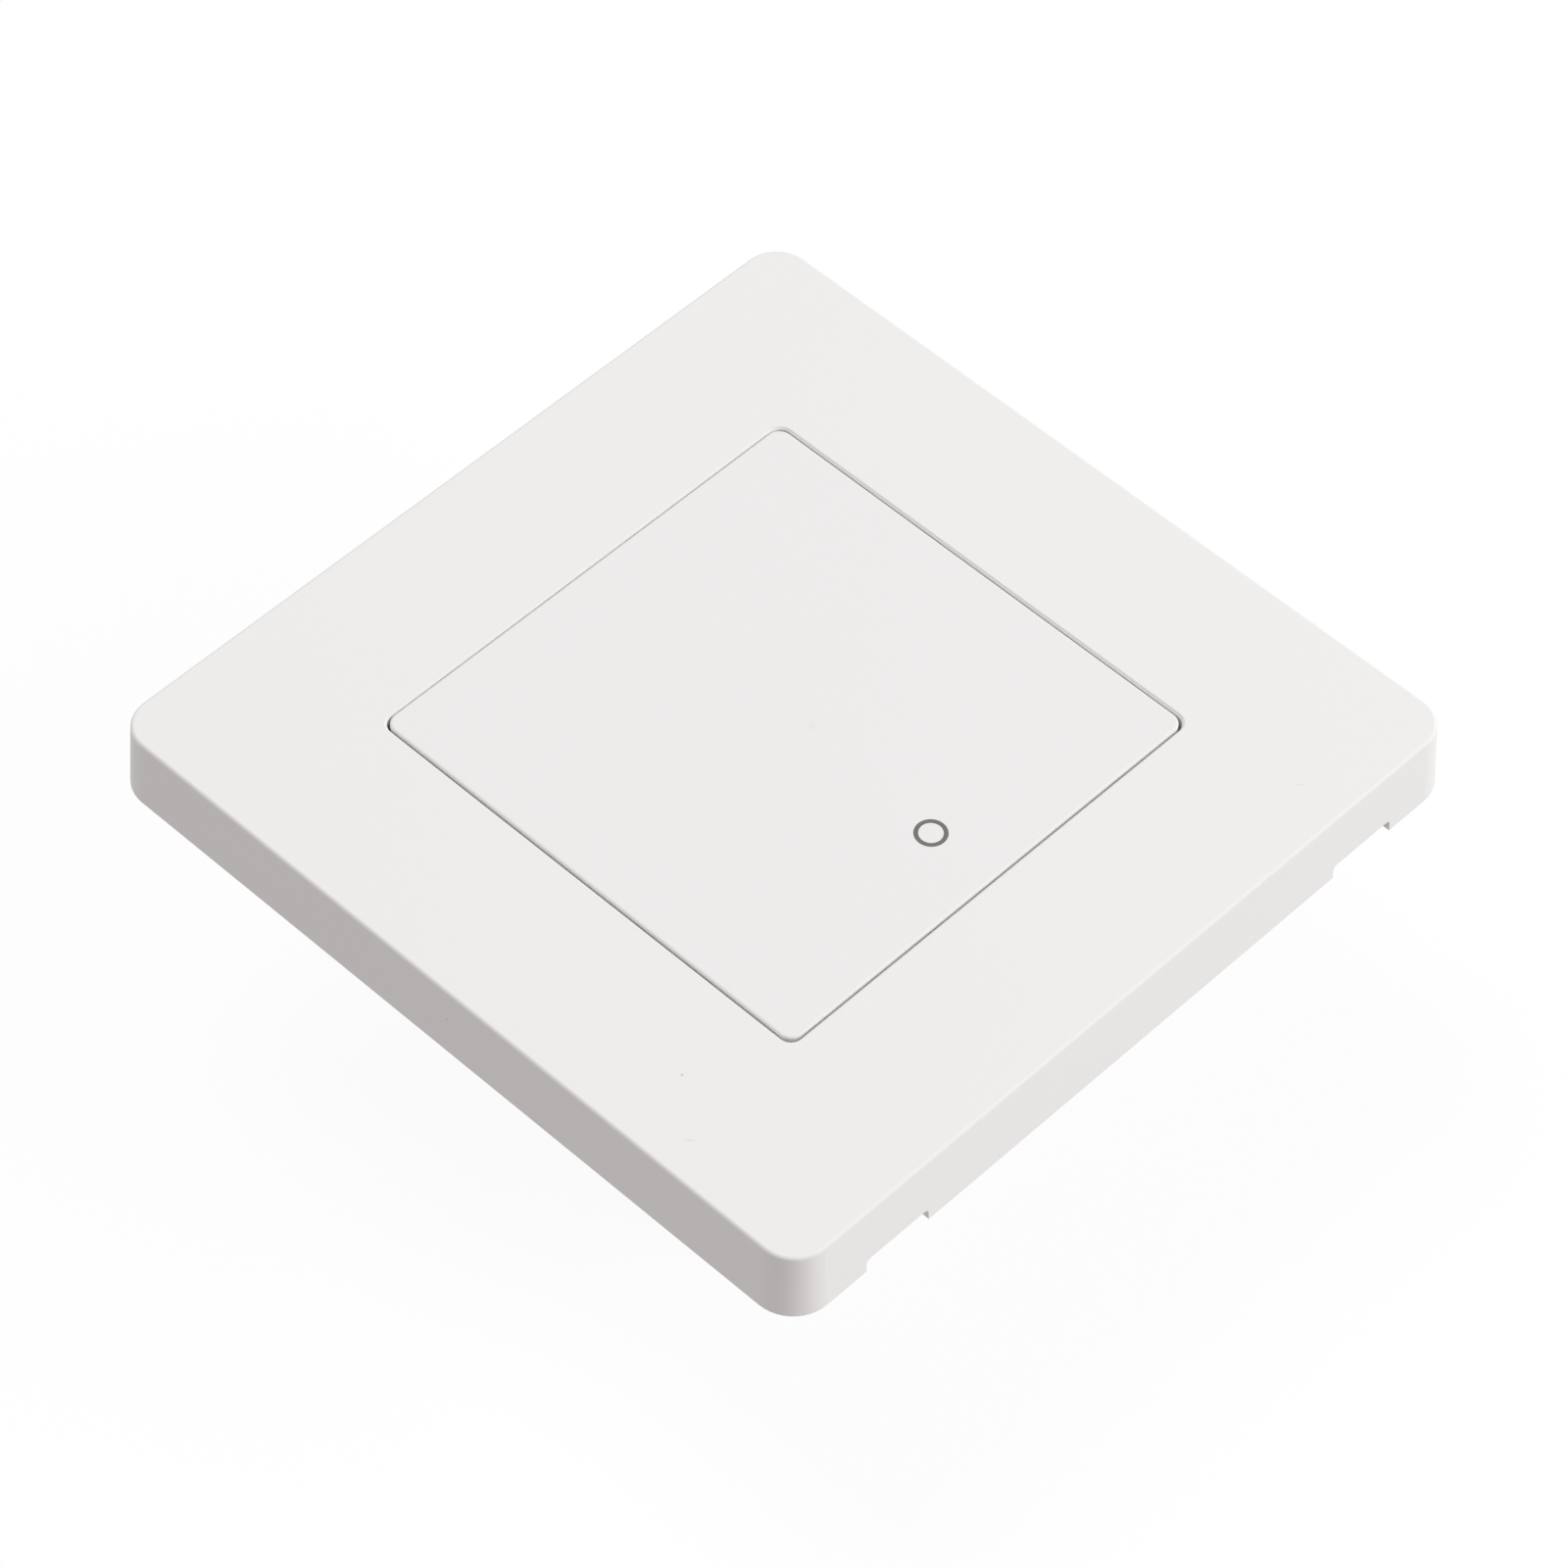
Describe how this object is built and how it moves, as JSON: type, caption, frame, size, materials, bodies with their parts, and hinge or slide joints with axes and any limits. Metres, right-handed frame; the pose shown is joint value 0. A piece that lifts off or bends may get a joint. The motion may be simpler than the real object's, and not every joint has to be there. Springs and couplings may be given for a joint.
{
  "type": "smart light switch",
  "caption": "Square flush wall switch: a cover plate round a large hinged push key with a ring light, on a screw-slotted chassis with a rear box of wire terminals.",
  "frame": {"origin": "centre of the wall plane, midway between the two wall screw slots", "axes": "+Z out of the wall towards the user, +Y up the wall, +X to the user's right"},
  "size_m": [0.086, 0.086, 0.0357],
  "materials": {
    "white_plate": "satin, fine moulded grain",
    "white_key": "satin, fine moulded grain",
    "smoked_guide": "smoked, translucent",
    "spring_steel": "rolled strip",
    "chassis_plastic": "matt moulded",
    "board_laminate": "solder resist",
    "black_moulding": "matt moulded",
    "tinned_steel": "tinned sheet",
    "lamp_resin": "clear resin",
    "gold_pins": "plated",
    "relay_case": "matt moulded",
    "capacitor_sleeve": "sleeved can",
    "inductor_body": "moulded iron powder",
    "varistor_coat": "dipped lacquer",
    "fuse_case": "matt moulded",
    "terminal_moulding": "matt moulded",
    "clamp_brass": "plain",
    "screw_steel": "zinc plated",
    "housing_plastic": "matt moulded"
  },
  "bodies": {
    "base": {"front_frame": "white_plate", "key_springs": "spring_steel", "mounting_chassis": "chassis_plastic", "control_board": "board_laminate", "radio_board": "board_laminate", "power_board": "board_laminate", "tact_base": "black_moulding", "link_socket": "black_moulding", "link_base": "black_moulding", "rectifier": "black_moulding", "converter_chip": "black_moulding", "tact_cover": "tinned_steel", "tact_leads": "tinned_steel", "radio_shield": "tinned_steel", "status_led": "lamp_resin", "link_pins": "gold_pins", "relay": "relay_case", "input_capacitor": "capacitor_sleeve", "output_capacitor": "capacitor_sleeve", "inductor": "inductor_body", "varistor": "varistor_coat", "fuse": "fuse_case", "terminal_block": "terminal_moulding", "terminal_clamps": "clamp_brass", "terminal_screws": "screw_steel", "rear_housing": "housing_plastic"},
    "key": {"push_key": "white_key", "indicator_ring": "smoked_guide"},
    "plunger": {"tact_plunger": "black_moulding"}
  },
  "joints": [
    {"name": "key_pivot", "type": "hinge", "parent": "base", "child": "key", "pos_m": [0, 0.02, 0.00395], "axis": [1, 0, 0], "range_deg": [0, 1], "stiffness_Nm_per_rad": 1.5, "springref_deg": -1.15, "deforming": ["key_springs"]},
    {"name": "tact_travel", "type": "slide", "parent": "base", "child": "plunger", "axis": [0, 0, -1], "range_m": [0, 0.00055]}
  ],
  "couplings": [
    {"joint": "tact_travel", "follows": "key_pivot", "m_per_rad": 0.029}
  ]
}
